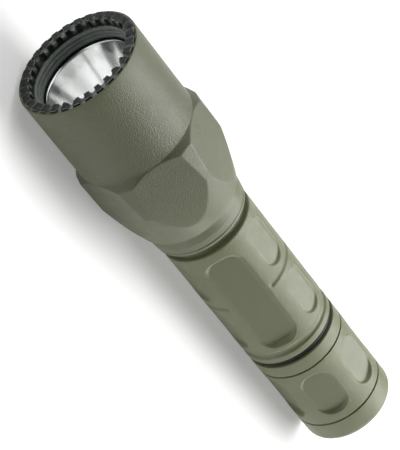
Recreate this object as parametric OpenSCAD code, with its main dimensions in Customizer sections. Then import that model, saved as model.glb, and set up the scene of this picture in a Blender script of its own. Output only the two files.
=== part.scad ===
/* [Overall stations] */
// Length of the head, from the bezel's front face to the rear lip
head_len = 56.4; // [56:0.1:57]
// Width of the shadow gap between the head's lip and the body
gap_len = 2.3; // [2:0.1:3]
// Length of the body's grip section
body_len = 40.7; // [40.7:0.1:42]
// Width of the seal gap between the body and the tailcap
seal_gap = 1.8; // [1.7:0.1:2]
// Length of the tailcap
cap_len = 30.8; // [30.8:0.1:32]

/* [Head] */
// Diameter of the head's cylinder
head_d = 31.75; // [31.5:0.05:32]
// Length of the head's cylinder, in front of the collar
barrel_len = 25.6; // [25:0.1:26]
// Distance from the axis to a collar flat, at the flat's front end
flat_apothem = 15.98; // [15.9:0.01:16.1]
// Inward tilt of each collar flat towards the rear, in degrees
flat_tilt = 3.3; // [3:0.1:3.5]
// Distance from the axis to a collar corner facet
facet_apothem = 17.2; // [17:0.05:17.3]
// How far the bezel ring stands in front of the head's rim
bezel_proud = 0.55; // [0.4:0.05:0.7]
// Number of crenellations cut in the bezel ring
bezel_notches = 30; // [24:1:36]

/* [Optics] */
// Radius of the reflector's mouth
mouth_r = 11.8; // [11.5:0.05:11.9]
// Focal length of the reflector's paraboloid
focal_len = 1.7; // [1.65:0.01:1.75]
// Thickness of the lens
lens_thick = 1.2; // [1.0:0.1:1.4]

/* [Body and cells] */
// Diameter of the body and the tailcap
body_d = 24.5; // [24.4:0.05:24.8]
// Diameter of one lithium cell
cell_d = 16.8; // [16.5:0.1:17]
// Length of one lithium cell, over its terminals
cell_len = 34.5; // [34.2:0.1:34.5]
// Half-width of a grip scallop
scallop_w = 4.0; // [3.6:0.1:4.1]
// Half-width of the plain name panel
panel_w = 5.4; // [5:0.1:5.5]

/* [Tailcap and switch] */
// Radius of the button boot's dome
boot_r = 7.7; // [7.4:0.1:7.8]
// Travel of the button
button_travel = 2.0; // [1.5:0.1:2]
// Half-width of a tailcap grip pocket
pocket_w = 4.45; // [4.2:0.05:4.5]

/* [Hidden] */

// Finish of the curves
$fn = 96;
// A little extra, so that cutters run past the faces they cut
eps = 1;
// Radial clearance of a close fit
fit = 0.06;

// Axial stations, measured back from the bezel's front face
body_t0 = head_len + gap_len;
body_t1 = body_t0 + body_len;
cap_t0 = body_t1 + seal_gap;
total_len = cap_t0 + cap_len;

head_r = head_d / 2;
body_r = body_d / 2;
cell_r = cell_d / 2;

// Bevel on the rims, and the depth of a shallow turned groove
bevel = 0.25;
groove_depth = 0.4;

// Collar and cone of the head
chamfer_slope = 0.77;
blank_r = 17.9;
blank_t0 = barrel_len + (blank_r - head_r) / chamfer_slope;
cone_t0 = 35.3;
cone_t1 = 50;
cone_r1 = 13.78;
cone_arc_r = 224;
cone_steps = 6;
neck_r = 12.9;
lip_t0 = 55;
lip_r = 12.75;
lip_step_r = 12.4;

// Blocks that cut the collar's flats and corner facets: length, width and height
flat_block = [30, 24, 5];
facet_block = [20, 12, 3];

// Bores inside the head
bezel_r = 15.36;
bezel_shank_r = 14.6;
bezel_flange = 2.6;
bezel_t1 = 9.2;
bezel_in_r = 12.95;
bezel_bore_r = 13.45;
notch_r = 0.66;
notch_depth = 0.9;
slot_w = 2.6;
slot_r = 13.7;
head_bore_r = 13.6;
flange_t = 30;
pill_r = 12.6;
pill_t1 = 43.2;
neck_out_r = 11;

// Optics: the bezel's inner ledge, its thin lip in front of the lens, and the seal behind the ledge
window_r = 12.2;
ledge_t = 2.4;
ledge_t1 = 4.9;
lip_wall = 0.2;
lens_t = 5.55;
lens_r = 13.3;
lens_gap = 0.05;
lens_seal_r = 12.75;
lens_seal_wire = 0.32;
mirror_t = lens_t + lens_thick;
vertex_t = mirror_t + mouth_r * mouth_r / (4 * focal_len);
throat_r = 2.9;
throat_t = vertex_t - throat_r * throat_r / (4 * focal_len);
mirror_base_t = 26.4;
mirror_back_r = 6;
mirror_rim_r = 12.6;
mirror_flange = 1.8;
mirror_flange_r = 13.25;
centring_r = 5.8;
bowl_steps = 14;
board_t = 27;
board_r = 9.6;
led_t = 26.3;
led_w = 3.4;
dome_r = 1.25;
pill_t = 28.6;
pill_flange_r = 13.5;
pill_floor_t = 33.5;
wire_y = 7.2;
wire_r = 0.5;
wire_hole_r = 0.8;

// Driver
driver_t = 40.4;
driver_r = 11.3;
driver_thick = 1.4;
driver_ring_in_r = 9.2;
inductor_r = 3;
inductor_h = 3.5;
inductor_z = 5;
chip = [1.6, 6.4, 4.2];
chip_z = -6.5;
capacitor = [1.1, 1.6, 2.4];
capacitor_y = [-4.4, 2.8];

// Cells and the sleeve around them
cell_t0 = 44.5;
cell_t2 = cell_t0 + 2 * cell_len;
liner_r0 = 8.8;
liner_r1 = 9.35;
liner_t0 = 43.3;
liner_t1 = 109.5;
tube_t0 = 43.6;
tube_t1 = 109;

// Springs: coil radius at the front and rear ends, wire radius and number of turns
driver_coil = [3.9, 2.3];
driver_wire_r = 0.32;
driver_turns = 2.75;
tail_coil = [3.2, 7.4];
tail_wire_r = 0.38;
tail_turns = 3.5;
return_coil = [5, 5];
return_wire_r = 0.14;
return_turns = 3.5;
spring_gap = 0.02;

// Ends of a cell: its raised terminal and its rounded shoulders
button_r = 3.1;
button_h = 1.1;
shoulder = 0.5;

// Groove in the body's front neck, and the seal ring that fills it
neck_groove_t0 = 52.9;
neck_groove_t1 = 54.3;
neck_groove_r = 9.98;
head_seal_r = 10.5;
head_seal_wire = 0.5;

// Step near the body's tail, and the soft ring between the grip rows
step_t0 = 95.6;
step_t1 = 97.7;
step_ease = 0.5;
ring_t0 = 76.9;
ring_t1 = 77.8;
ring_depth = 0.35;
ring_clear = 0.9;

// Tail joint
seal_r = 0.8;
seal_ring_r = 10.95;
tail_neck_r = 10.1;
land_r = 11.12;
land_t1 = 103.2;
thread_root_r = 10.6;
cap_bore_r = 11.2;
cap_bore_t1 = 110.2;
switch_bore_r = 10;

// Switch, from the disc that the tail spring stands on to the boot
disc_t = 117.6;
disc_thick = 0.6;
disc_r = 8.6;
switch_ring_t0 = liner_t1 + 0.1;
switch_ring_in_r = 8.9;
spanner_t = liner_t1 + 1.3;
spanner_w = 1.6;
housing_t0 = 118.5;
housing_t1 = 125.2;
housing_wall = 1.2;
housing_in_r = 7.2;
housing_floor = 2;
pin_hole_r = 1.3;
stem_hole_r = 4.46;
washer_in_r = 6.2;
plunger_t = 122.9;
boot_t0 = 126;
boot_t1 = 127.5;
crown_t = boot_t1 + 1.2;
hollow_t = boot_t1 + 0.9;
boot_top_t = total_len - 0.4;
boot_wall = 1.3;
cap_round_r = 2.8;
cap_steps = 6;
boot_steps = 8;
boot_rim_r = 8.1;
pin_r = 1.2;
stem_r = 4.4;
plunger_foot_r = 6.5;
plunger_head_r = 5.6;
plunger_tip_r = 3.6;

// Grip pattern: stations, floors and corner radii of the pockets, then angles from straight up
scallop_rows = [[60.4, 75.1], [79.6, 93.8]];
scallop_floor = 11.58;
scallop_corner = 3.9;
panel_t = [61.6, 94.5];
panel_floor = 11.1;
panel_corner = 4.2;
cap_pocket_t = [107.5, 122.5];
cap_pocket_floor = 11.3;
cap_pocket_corner = 4.3;
cap_grooves = [105, 125];
cap_groove_w = 0.5;
panel_phi = 70;
slot_phi = 24;
grip_phi = [for (k = [1:5]) panel_phi + 60 * k];

olive = [0.40, 0.41, 0.33];
black = [0.06, 0.06, 0.065];
steel = [0.72, 0.73, 0.75];
brass = [0.80, 0.64, 0.32];

// Place along the X axis of a station measured back from the front face
function x_of(t) = total_len / 2 - t;

// Point of a shallow arc between two stations of an outline, bulging outwards
function arc_point(a, b, radius, s) =
    let (
        chord = norm(b - a),
        sag = radius - sqrt(radius * radius - chord * chord / 4),
        along = (b - a) / chord,
        out = [-along[1], along[0]]
    )
    a + s * (b - a) + 4 * s * (1 - s) * sag * out;

// Turned solid about the X axis from outline points [station, radius]
module turned(points) {
    rotate([0, 90, 0])
        rotate_extrude()
            polygon([for (p = points) [p[1], x_of(p[0])]]);
}

// Plain cylinder between two stations
module rod(t0, t1, r) {
    translate([x_of(t1), 0, 0])
        rotate([0, 90, 0])
            cylinder(h = t1 - t0, r = r);
}

// Plain ring between two stations
module ring(t0, t1, r_out, r_in) {
    difference() {
        rod(t0, t1, r_out);
        rod(t0 - eps, t1 + eps, r_in);
    }
}

// Rounded seal ring about the X axis
module seal(t, r_ring, r_wire) {
    translate([x_of(t), 0, 0])
        rotate([0, 90, 0])
            rotate_extrude()
                translate([r_ring, 0])
                    circle(r = r_wire, $fn = 32);
}

// Turns the children so that their +Z side faces the angle phi
module facing(phi) {
    rotate([-phi, 0, 0]) children();
}

// Outline of a pocket with round ends, its centre line along X between two stations
module slot_outline(span, half_w, corner) {
    xa = x_of(span[1]);
    xb = x_of(span[0]);
    translate([xa + corner, -half_w]) square([xb - xa - 2 * corner, 2 * half_w]);
    translate([xa, corner - half_w]) square([xb - xa, 2 * (half_w - corner)]);
    for (x = [xa + corner, xb - corner])
        for (y = [corner - half_w, half_w - corner])
            translate([x, y]) circle(r = corner, $fn = 48);
}

// Cutter for a flat-floored pocket whose floor lies at a height above the axis
module pocket(span, half_w, corner, floor_z) {
    translate([0, 0, floor_z])
        linear_extrude(height = head_r)
            slot_outline(span, half_w, corner);
}

// Cutter ring for a groove, from its floor outwards
module groove(t0, t1, floor_r) {
    ring(t0, t1, head_r + 3, floor_r);
}

// Round wire swept along a coil whose radius changes evenly
module coil(t0, t1, radii, wire_r, turns) {
    steps = ceil(turns * 20);
    sides = 8;
    rings = [for (i = [0:steps])
        let (
            s = i / steps,
            a = 360 * turns * s,
            r = radii[0] + (radii[1] - radii[0]) * s,
            x = x_of(t0 + wire_r + (t1 - t0 - 2 * wire_r) * s)
        )
        for (j = [0:sides - 1])
            let (b = 360 * j / sides, rho = r + wire_r * cos(b))
            [x + wire_r * sin(b), rho * sin(a), rho * cos(a)]
    ];
    walls = [for (i = [0:steps - 1]) for (j = [0:sides - 1])
        let (k = (j + 1) % sides)
        [i * sides + j, i * sides + k, (i + 1) * sides + k, (i + 1) * sides + j]
    ];
    first = [for (j = [sides - 1:-1:0]) j];
    last = [for (j = [0:sides - 1]) steps * sides + j];
    polyhedron(points = rings, faces = concat(walls, [first, last]), convexity = 4);
}

// ---- head ----

module head_blank() {
    cone = [for (i = [0:cone_steps])
        arc_point([cone_t0, blank_r], [cone_t1, cone_r1], cone_arc_r, i / cone_steps)];
    turned(concat(
        [[bezel_proud, 0], [bezel_proud, head_r - bevel], [bezel_proud + bevel, head_r]],
        [[barrel_len, head_r], [blank_t0, blank_r]],
        cone,
        [[cone_t1 + 0.25, neck_r + 0.3], [cone_t1 + 1.4, neck_r], [lip_t0 - 1.7, neck_r]],
        [[lip_t0, lip_r], [lip_t0 + 0.15, lip_step_r], [lip_t0 + 0.4, lip_step_r]],
        [[lip_t0 + 0.5, lip_r - 0.15], [head_len - 0.3, lip_r - 0.2]],
        [[head_len, lip_step_r - 0.1], [head_len, 0]]
    ));
}

module collar_planes() {
    flat_x = x_of(barrel_len);
    for (k = [0:5]) {
        facing(60 * k)
            translate([flat_x, 0, flat_apothem])
                rotate([0, -flat_tilt, 0])
                    translate([-flat_block[0], -flat_block[1] / 2, 0])
                        cube(flat_block);
        facing(60 * k + 30)
            translate([flat_x - facet_block[0], -facet_block[1] / 2, facet_apothem])
                cube(facet_block);
    }
}

module head_shell() {
    color(olive)
        difference() {
            head_blank();
            collar_planes();
            rod(0, bezel_flange + 0.1, bezel_r + 0.05);
            rod(1, bezel_t1 + 0.2, bezel_shank_r + fit);
            rod(2, flange_t, head_bore_r);
            rod(flange_t - eps, liner_t0, pill_r + fit);
            rod(liner_t0 - eps, head_len + eps, neck_out_r + fit);
        }
}

module bezel_ring() {
    color(black)
        difference() {
            turned([
                [0, bezel_in_r + 0.2], [0, bezel_r - bevel], [bevel, bezel_r],
                [bezel_flange, bezel_r], [bezel_flange, bezel_shank_r],
                [bezel_t1, bezel_shank_r], [bezel_t1, bezel_bore_r], [ledge_t1, bezel_bore_r],
                [ledge_t1, window_r + lip_wall], [lens_t - lens_gap, window_r + lip_wall],
                [lens_t - lens_gap, window_r], [ledge_t, window_r],
                [ledge_t, bezel_in_r], [0.2, bezel_in_r]
            ]);
            for (k = [0:bezel_notches - 1])
                facing(360 * k / bezel_notches)
                    translate([x_of(notch_depth - notch_r), 0, window_r]) {
                        cylinder(h = 4, r = notch_r, $fn = 32);
                        translate([0, -notch_r, 0]) cube([2, 2 * notch_r, 4]);
                    }
            for (k = [0:5])
                facing(slot_phi + 60 * k)
                    translate([x_of(ledge_t), -slot_w / 2, 10])
                        cube([4, slot_w, slot_r - 10]);
        }
}

module lens_seal() {
    color(black)
        seal((ledge_t1 + lens_t) / 2, lens_seal_r, lens_seal_wire);
}

module lens() {
    color([0.85, 0.92, 0.95, 0.35])
        rod(lens_t, mirror_t, lens_r);
}

module reflector() {
    curve = [for (i = [0:bowl_steps])
        let (t = mirror_t + (throat_t - mirror_t) * (1 - pow(1 - i / bowl_steps, 2)))
        [t, sqrt(4 * focal_len * (vertex_t - t))]];
    color(steel)
        turned(concat(
            curve,
            [[mirror_base_t, throat_r], [mirror_base_t, mirror_back_r]],
            [[mirror_t + mirror_flange, mirror_rim_r], [mirror_t + mirror_flange, mirror_flange_r]],
            [[mirror_t, mirror_flange_r]]
        ));
}

module led_dome() {
    color([0.95, 0.85, 0.35, 0.6])
        difference() {
            translate([x_of(led_t), 0, 0]) sphere(r = dome_r, $fn = 48);
            rod(led_t, board_t + eps, led_w);
        }
}

module led_package() {
    color([0.92, 0.88, 0.62])
        translate([x_of(board_t), -led_w / 2, -led_w / 2])
            cube([board_t - led_t, led_w, led_w]);
}

module led_centering_ring() {
    color("white")
        difference() {
            rod(mirror_base_t, board_t, centring_r);
            translate([x_of(board_t) - eps, -led_w / 2 - 0.1, -led_w / 2 - 0.1])
                cube([4, led_w + 0.2, led_w + 0.2]);
        }
}

// Pair of through holes for the lamp's two wires
module wire_holes(t0, t1, r) {
    for (y = [-wire_y, wire_y])
        translate([0, y, 0]) rod(t0, t1, r);
}

module led_board() {
    color([0.85, 0.87, 0.86])
        difference() {
            rod(board_t, pill_t, board_r);
            wire_holes(board_t - eps, pill_t + eps, wire_hole_r);
        }
}

module heat_sink() {
    color([0.76, 0.62, 0.36])
        difference() {
            union() {
                rod(pill_t, flange_t, pill_flange_r);
                rod(pill_t, pill_t1, pill_r);
            }
            rod(pill_floor_t, pill_t1 + eps, driver_r + fit);
            wire_holes(pill_t - eps, pill_floor_t + eps, wire_hole_r);
        }
}

module led_wires() {
    color("firebrick")
        wire_holes(board_t - 0.4, driver_t, wire_r);
}

module driver_components() {
    color([0.15, 0.15, 0.16]) {
        translate([0, 0, inductor_z]) rod(driver_t - inductor_h, driver_t, inductor_r);
        translate([x_of(driver_t), -chip[1] / 2, chip_z]) cube(chip);
        for (y = capacitor_y)
            translate([x_of(driver_t), y, -capacitor[2] / 2]) cube(capacitor);
    }
}

module driver_board() {
    color([0.05, 0.30, 0.16])
        rod(driver_t, driver_t + driver_thick, driver_r);
}

module driver_retaining_ring() {
    color(brass)
        ring(driver_t + driver_thick, pill_t1, driver_r, driver_ring_in_r);
}

module driver_spring() {
    color(brass)
        coil(driver_t + driver_thick, cell_t0, driver_coil, driver_wire_r, driver_turns);
}

// ---- body and cells ----

module head_oring() {
    color(black)
        seal((neck_groove_t0 + neck_groove_t1) / 2, head_seal_r, head_seal_wire);
}

module body_tube() {
    color(olive)
        difference() {
            turned([
                [tube_t0, liner_r1 + 0.05], [tube_t0, neck_out_r - 0.3],
                [tube_t0 + 0.3, neck_out_r], [neck_groove_t0, neck_out_r],
                [neck_groove_t0, neck_groove_r], [neck_groove_t1, neck_groove_r],
                [neck_groove_t1, neck_out_r], [body_t0, neck_out_r],
                [body_t0, body_r - bevel], [body_t0 + bevel, body_r],
                [step_t0, body_r], [step_t0 + step_ease, body_r - groove_depth],
                [step_t1 - step_ease, body_r - groove_depth], [step_t1, body_r],
                [body_t1 - bevel, body_r], [body_t1, body_r - bevel],
                [body_t1, tail_neck_r], [cap_t0 + 0.1, tail_neck_r], [cap_t0 + 0.1, land_r],
                [land_t1, land_r], [land_t1 + 0.2, thread_root_r],
                [tube_t1 - 0.3, thread_root_r], [tube_t1, thread_root_r - 0.3],
                [tube_t1, liner_r1 + 0.05]
            ]);
            for (phi = grip_phi)
                for (row = scallop_rows)
                    facing(phi)
                        pocket(row, scallop_w, scallop_corner, scallop_floor);
            facing(panel_phi)
                pocket(panel_t, panel_w, panel_corner, panel_floor);
            difference() {
                groove(ring_t0, ring_t1, body_r - ring_depth);
                facing(panel_phi)
                    translate([x_of(ring_t1 + eps), -panel_w - ring_clear, 0])
                        cube([4, 2 * (panel_w + ring_clear), 30]);
            }
        }
}

module body_liner() {
    color(steel)
        ring(liner_t0, liner_t1, liner_r1, liner_r0);
}

// One lithium cell, its raised positive terminal towards the head
module battery(t0) {
    t1 = t0 + cell_len;
    turned([
        [t0, 0], [t0, button_r - bevel], [t0 + bevel, button_r], [t0 + button_h, button_r],
        [t0 + button_h, cell_r - shoulder], [t0 + button_h + shoulder, cell_r],
        [t1 - shoulder, cell_r], [t1, cell_r - shoulder], [t1, 0]
    ]);
}

module battery_front() {
    color([0.75, 0.16, 0.12])
        battery(cell_t0);
}

module battery_rear() {
    color([0.75, 0.16, 0.12])
        battery(cell_t0 + cell_len);
}

module tail_oring() {
    color(black)
        seal((body_t1 + cap_t0) / 2, seal_ring_r, seal_r);
}

// ---- tailcap ----

module tail_spring() {
    color(brass)
        coil(cell_t2 + spring_gap, disc_t - spring_gap, tail_coil, tail_wire_r, tail_turns);
}

module tail_contact_disc() {
    color(brass)
        rod(disc_t, disc_t + disc_thick, disc_r);
}

module tailcap_shell() {
    rounding = [for (i = [0:cap_steps])
        let (a = 90 * i / cap_steps)
        [total_len - cap_round_r * (1 - sin(a)), body_r - cap_round_r * (1 - cos(a))]];
    color(olive)
        difference() {
            turned(concat(
                [[cap_t0, cap_bore_r], [cap_t0, body_r - bevel], [cap_t0 + bevel, body_r]],
                rounding,
                [[total_len, boot_rim_r + 0.6], [total_len - 0.6, boot_rim_r]],
                [[boot_t1, boot_rim_r]],
                [[boot_t1, switch_bore_r], [cap_bore_t1, switch_bore_r]],
                [[cap_bore_t1, cap_bore_r]]
            ));
            for (t = cap_grooves)
                groove(t, t + cap_groove_w, body_r - groove_depth);
            for (k = [0:5])
                facing(panel_phi + 60 * k)
                    pocket(cap_pocket_t, pocket_w, cap_pocket_corner, cap_pocket_floor);
        }
}

module switch_retaining_ring() {
    color(steel)
        difference() {
            ring(switch_ring_t0, housing_t0, switch_bore_r - 0.05, switch_ring_in_r);
            for (a = [0, 90])
                facing(a)
                    translate([x_of(spanner_t), -spanner_w / 2, -body_r])
                        cube([4, spanner_w, body_d]);
        }
}

module switch_housing() {
    color(black)
        difference() {
            rod(housing_t0, housing_t1, switch_bore_r - 0.1);
            rod(housing_t0 + housing_wall, housing_t1 - housing_wall, housing_in_r);
            rod(housing_t0 - eps, housing_t0 + housing_floor, pin_hole_r);
            rod(housing_t1 - housing_floor, housing_t1 + eps, stem_hole_r);
        }
}

module switch_return_spring() {
    color(steel)
        coil(housing_t0 + housing_wall + spring_gap, plunger_t - spring_gap,
            return_coil, return_wire_r, return_turns);
}

module boot_washer() {
    color(steel)
        ring(housing_t1, boot_t0, switch_bore_r - 0.1, washer_in_r);
}

module switch_boot() {
    crown = [for (i = [0:boot_steps])
        let (a = 90 * i / boot_steps)
        [crown_t + (boot_top_t - crown_t) * sin(a), boot_r * cos(a)]];
    hollow = [for (i = [boot_steps:-1:0])
        let (a = 90 * i / boot_steps)
        [hollow_t + (boot_top_t - boot_wall - hollow_t) * sin(a), (boot_r - boot_wall) * cos(a)]];
    color(black)
        turned(concat(
            [[boot_t0, boot_r - boot_wall], [boot_t0, switch_bore_r - 0.15]],
            [[boot_t1, switch_bore_r - 0.15], [boot_t1, boot_r]],
            crown,
            hollow
        ));
}

module switch_plunger() {
    color([0.75, 0.75, 0.72])
        turned([
            [plunger_t, 0], [plunger_t, plunger_foot_r], [plunger_t + 1, plunger_foot_r],
            [plunger_t + 1, stem_r], [boot_t1 - 0.1, stem_r], [boot_t1 - 0.1, plunger_head_r],
            [boot_t1 + 1.1, plunger_head_r], [boot_t1 + 1.9, plunger_tip_r], [boot_t1 + 2.3, 0]
        ]);
}

module plunger_contact_pin() {
    color(brass)
        rod(disc_t + disc_thick + 0.1 + button_travel, plunger_t, pin_r);
}

head_shell();
bezel_ring();
lens_seal();
lens();
reflector();
led_dome();
led_package();
led_centering_ring();
led_board();
heat_sink();
led_wires();
driver_components();
driver_board();
driver_retaining_ring();
driver_spring();
head_oring();
body_tube();
body_liner();
battery_front();
battery_rear();
tail_oring();
tail_spring();
tail_contact_disc();
tailcap_shell();
switch_retaining_ring();
switch_housing();
switch_return_spring();
boot_washer();
switch_boot();
switch_plunger();
plunger_contact_pin();
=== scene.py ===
"""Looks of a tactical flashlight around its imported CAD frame: +X along the beam, +Z up, metres."""
import math

import bmesh
import bpy
import numpy as np
from mathutils import Matrix, Vector


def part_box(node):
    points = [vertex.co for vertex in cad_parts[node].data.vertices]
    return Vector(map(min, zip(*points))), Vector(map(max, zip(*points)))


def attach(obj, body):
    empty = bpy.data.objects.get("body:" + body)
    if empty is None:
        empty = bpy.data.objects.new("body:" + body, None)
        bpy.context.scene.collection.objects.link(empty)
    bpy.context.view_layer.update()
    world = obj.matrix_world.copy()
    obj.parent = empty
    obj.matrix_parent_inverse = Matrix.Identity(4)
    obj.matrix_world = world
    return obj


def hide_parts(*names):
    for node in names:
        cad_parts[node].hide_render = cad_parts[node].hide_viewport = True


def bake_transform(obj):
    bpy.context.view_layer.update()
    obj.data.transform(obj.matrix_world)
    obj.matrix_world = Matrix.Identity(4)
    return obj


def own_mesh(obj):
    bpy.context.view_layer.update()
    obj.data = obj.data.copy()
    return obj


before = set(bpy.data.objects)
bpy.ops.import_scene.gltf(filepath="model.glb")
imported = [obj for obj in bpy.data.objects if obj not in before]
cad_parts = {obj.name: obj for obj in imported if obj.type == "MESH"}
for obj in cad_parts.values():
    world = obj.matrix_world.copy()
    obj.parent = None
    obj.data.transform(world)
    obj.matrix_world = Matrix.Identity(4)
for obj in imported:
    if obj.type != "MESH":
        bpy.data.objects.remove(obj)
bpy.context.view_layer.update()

MM = 0.001
FRONT_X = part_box("bezel_ring")[1].x
BODY_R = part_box("body_tube")[1].y / MM
BARREL_R = 15.875
TOTAL_LEN = (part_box("bezel_ring")[1].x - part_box("tailcap_shell")[0].x) / MM
SIXTH = math.pi / 3
# a fillet takes at most this share of a side, and a corner flatter than this half angle gets none
MAX_REACH = 0.48
STRAIGHT = math.radians(89)


# ---- geometry helpers ----
# outlines are lists of (station, radius) in mm, and stations count back from the bezel's front face


def rounded(corners, arc_steps):
    """Closed outline through (station, radius, fillet) corners, with an arc at each corner."""
    points, marks = [], []
    count = len(corners)
    for i, (t, r, fillet) in enumerate(corners):
        here = np.array([t, r], float)
        before = np.array(corners[i - 1][:2], float)
        after = np.array(corners[(i + 1) % count][:2], float)
        a, b = before - here, after - here
        la, lb = np.linalg.norm(a), np.linalg.norm(b)
        a, b = a / la, b / lb
        half = math.acos(max(-1.0, min(1.0, float(a @ b)))) / 2
        reach = min(fillet / math.tan(half), MAX_REACH * la, MAX_REACH * lb) if half > 1e-3 else 0
        if reach < 1e-4 or half > STRAIGHT:
            points.append(here)
            marks.append(0.0)
            continue
        start, end = here + a * reach, here + b * reach
        for k in range(arc_steps + 1):
            s = k / arc_steps
            # a quadratic curve from one tangent point to the other rounds the corner
            points.append((1 - s) ** 2 * start + 2 * s * (1 - s) * here + s ** 2 * end)
            marks.append(1.0 - (2 * s - 1) ** 2)
    return np.array(points), np.array(marks)


def spaced(points, marks, step):
    """The same closed outline with no segment longer than step(station, radius)."""
    out, out_marks = [], []
    for i in range(len(points)):
        a, b = points[i], points[(i + 1) % len(points)]
        middle = (a + b) / 2
        parts = max(1, int(math.ceil(np.linalg.norm(b - a) / step(*middle))))
        for k in range(parts):
            s = k / parts
            out.append(a + (b - a) * s)
            out_marks.append(marks[i] if k == 0 else 0.0)
    return np.array(out), np.array(out_marks)


def smoothstep(low, high, value):
    """0 at low, 1 at high, eased between; low may be the larger one."""
    s = np.clip((value - low) / (high - low), 0, 1)
    return s * s * (3 - 2 * s)


def wrap(angle):
    """The same angle between -pi and pi."""
    return (angle + math.pi) % (2 * math.pi) - math.pi


def nearest(angle, count):
    """Angle from the nearest of count equal directions."""
    return wrap(angle * count) / count


def soft_min(a, b, blend):
    """The smaller value with the change-over eased, and a mark that peaks where the two meet."""
    h = np.maximum(blend - np.abs(a - b), 0)
    return np.minimum(a, b) - h * h / (4 * blend), h / blend


def around_axis(t, r, phi):
    """Points in metres at station t and radius r (mm), turned by phi about the X axis."""
    x = FRONT_X - t * MM
    return np.stack(np.broadcast_arrays(x, r * MM * np.sin(phi), r * MM * np.cos(phi)), -1)


def tube_faces(rings, sides):
    """Quads between rings of sides points each, closed by one polygon at either end."""
    faces = []
    for i in range(rings - 1):
        for j in range(sides):
            k = (j + 1) % sides
            faces.append([i * sides + j, i * sides + k, (i + 1) * sides + k, (i + 1) * sides + j])
    faces.append(list(range(sides - 1, -1, -1)))
    faces.append([(rings - 1) * sides + j for j in range(sides)])
    return faces


def make_normals_outward(obj):
    work = bmesh.new()
    work.from_mesh(obj.data)
    bmesh.ops.recalc_face_normals(work, faces=work.faces)
    work.to_mesh(obj.data)
    work.free()


def closed_object(name, verts, faces, smooth=True):
    """Object of a closed mesh with its normals turned outward."""
    mesh = bpy.data.meshes.new(name)
    mesh.from_pydata(verts.tolist(), [], faces)
    mesh.update()
    obj = bpy.data.objects.new(name, mesh)
    bpy.context.scene.collection.objects.link(obj)
    make_normals_outward(obj)
    mesh.polygons.foreach_set("use_smooth", np.full(len(mesh.polygons), smooth))
    return obj


def mesh_object(name, verts, faces, edge=None):
    """Smooth object of quads, with an optional mark per vertex that the finishes read."""
    mesh = bpy.data.meshes.new(name)
    mesh.from_pydata(verts.tolist(), [], faces.tolist())
    mesh.polygons.foreach_set("use_smooth", np.ones(len(faces), bool))
    if edge is not None:
        layer = mesh.attributes.new("edge", "FLOAT", "POINT")
        layer.data.foreach_set("value", edge.astype(np.float32))
    mesh.update()
    obj = bpy.data.objects.new(name, mesh)
    bpy.context.scene.collection.objects.link(obj)
    return obj


def shell(name, corners, columns, step, shape=None, arc_steps=5):
    """Closed ring-shaped solid: the outline turned about the X axis and reshaped by shape(t, r, phi).

    shape gives new stations and radii and a mark: positive where the finish is painted lighter (worn edges,
    and painted highlights and painted light on the crown), negative on a floor painted darker as shade.
    """
    outline, marks = spaced(*rounded(corners, arc_steps), step)
    rows = len(outline)
    phi = np.arange(columns) * 2 * math.pi / columns
    t, phi_grid = np.meshgrid(outline[:, 0], phi, indexing="ij")
    r = np.repeat(outline[:, 1:2], columns, axis=1)
    edge = np.repeat(marks[:, None], columns, axis=1)
    if shape:
        t, r, extra = shape(t, r, phi_grid)
        edge = np.where(extra < 0, extra, np.maximum(edge, extra))
    verts = around_axis(t, r, phi_grid).reshape(-1, 3)
    i, j = np.meshgrid(np.arange(rows), np.arange(columns), indexing="ij")
    i2, j2 = (i + 1) % rows, (j + 1) % columns
    quads = np.stack([i, j, i2, j, i2, j2, i, j2], -1).reshape(-1, 4, 2)
    faces = quads[..., 0] * columns + quads[..., 1]
    a, b, c, d = (verts[faces[:, k]] for k in range(4))
    volume = np.einsum("ij,ij->", a, np.cross(b, c)) + np.einsum("ij,ij->", a, np.cross(c, d))
    if volume < 0:
        faces = faces[:, ::-1]
    return mesh_object(name, verts, faces, edge.reshape(-1))


def lathe(name, outline, columns):
    """Solid of revolution whose outline starts and ends on the axis."""
    points = np.array(outline, float)
    inner = points[1:-1]
    phi = np.arange(columns) * 2 * math.pi / columns
    verts = around_axis(inner[:, :1], inner[:, 1:], phi).reshape(-1, 3)
    poles = around_axis(points[[0, -1], 0], 0.0, 0.0)
    count = len(inner)
    faces = []
    for i in range(count - 1):
        for j in range(columns):
            k = (j + 1) % columns
            faces.append([i * columns + j, (i + 1) * columns + j,
                          (i + 1) * columns + k, i * columns + k])
    first, last = count * columns, count * columns + 1
    for j in range(columns):
        k = (j + 1) % columns
        faces.append([first, j, k])
        faces.append([last, (count - 1) * columns + k, (count - 1) * columns + j])
    return closed_object(name, np.vstack([verts, poles]), faces)


WIRE_SIDES = 12
COIL_STEPS_PER_TURN = 36
THREAD_STEPS_PER_TURN = 72
PITCH = 1.25
# a spring's rise is this part eased and the rest even, between its closed end turns
EASED_RISE = 0.6


def coil(name, t0, t1, r0, r1, wire_r, turns, flat_turns):
    """Compression spring about the X axis, with closed end turns."""
    steps = int(turns * COIL_STEPS_PER_TURN)
    s = np.linspace(0, 1, steps + 1)
    angle = 2 * math.pi * turns * s
    rise = np.clip((s * turns - flat_turns) / (turns - 2 * flat_turns), 0, 1)
    rise = rise * rise * (3 - 2 * rise) * EASED_RISE + rise * (1 - EASED_RISE)
    radius = r0 + (r1 - r0) * s
    t = t0 + wire_r + (t1 - t0 - 2 * wire_r) * rise
    b = np.arange(WIRE_SIDES) * 2 * math.pi / WIRE_SIDES
    rho = radius[:, None] + wire_r * np.cos(b)
    verts = around_axis(t[:, None] + wire_r * np.sin(b), rho, angle[:, None]).reshape(-1, 3)
    return closed_object(name, verts, tube_faces(steps + 1, WIRE_SIDES))


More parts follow.
